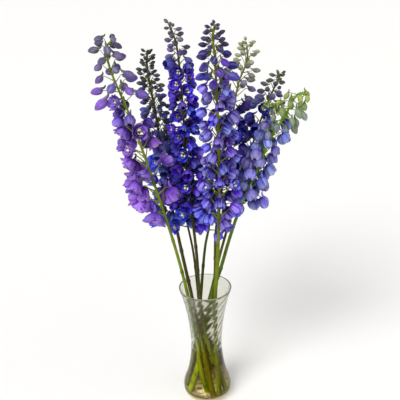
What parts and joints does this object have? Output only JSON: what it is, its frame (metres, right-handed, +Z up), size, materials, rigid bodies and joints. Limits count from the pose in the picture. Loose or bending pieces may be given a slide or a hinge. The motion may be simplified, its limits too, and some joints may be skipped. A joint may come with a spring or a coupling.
{
  "type": "delphinium in vase",
  "caption": "Tall delphinium stems with spurred florets and buds, fanned out of a flared, waisted glass vase part filled with water.",
  "frame": {"origin": "centre of the vase's flat underside, on the surface that it stands on", "axes": "+Z up along the vase's axis; the flowers fan out over the X axis, and the pictured side faces -Y"},
  "size_m": [0.3843, 0.203, 0.8372],
  "materials": {
    "vase_glass": "gloss",
    "water": "gloss",
    "stalk_lilac": "satin",
    "petals_lilac": "matte",
    "buds_lilac": "matte",
    "stalk_slate": "satin",
    "petals_slate": "matte",
    "buds_slate": "matte",
    "stalk_tall_blue": "satin",
    "petals_tall_blue": "matte",
    "buds_tall_blue": "matte",
    "stalk_centre_violet": "satin",
    "petals_centre_violet": "matte",
    "buds_centre_violet": "matte",
    "stalk_pale_budded": "satin",
    "petals_pale_budded": "matte",
    "buds_pale_budded": "matte",
    "stalk_dark_right": "satin",
    "petals_dark_right": "matte",
    "buds_dark_right": "matte",
    "stalk_drooping": "satin",
    "petals_drooping": "matte",
    "buds_drooping": "matte",
    "stalk_short_back": "satin",
    "petals_short_back": "matte",
    "buds_short_back": "matte",
    "stalk_short_middle": "satin",
    "petals_short_middle": "matte",
    "buds_short_middle": "matte"
  },
  "bodies": {
    "root": {"vase": "vase_glass", "water": "water", "stalk_lilac": "stalk_lilac", "florets_lilac": "petals_lilac", "buds_lilac": "buds_lilac", "stalk_slate": "stalk_slate", "florets_slate": "petals_slate", "buds_slate": "buds_slate", "stalk_tall_blue": "stalk_tall_blue", "florets_tall_blue": "petals_tall_blue", "buds_tall_blue": "buds_tall_blue", "stalk_centre_violet": "stalk_centre_violet", "florets_centre_violet": "petals_centre_violet", "buds_centre_violet": "buds_centre_violet", "stalk_pale_budded": "stalk_pale_budded", "florets_pale_budded": "petals_pale_budded", "buds_pale_budded": "buds_pale_budded", "stalk_dark_right": "stalk_dark_right", "florets_dark_right": "petals_dark_right", "buds_dark_right": "buds_dark_right", "stalk_drooping": "stalk_drooping", "florets_drooping": "petals_drooping", "buds_drooping": "buds_drooping", "stalk_short_back": "stalk_short_back", "florets_short_back": "petals_short_back", "buds_short_back": "buds_short_back", "stalk_short_middle": "stalk_short_middle", "florets_short_middle": "petals_short_middle", "buds_short_middle": "buds_short_middle"}
  },
  "joints": []
}
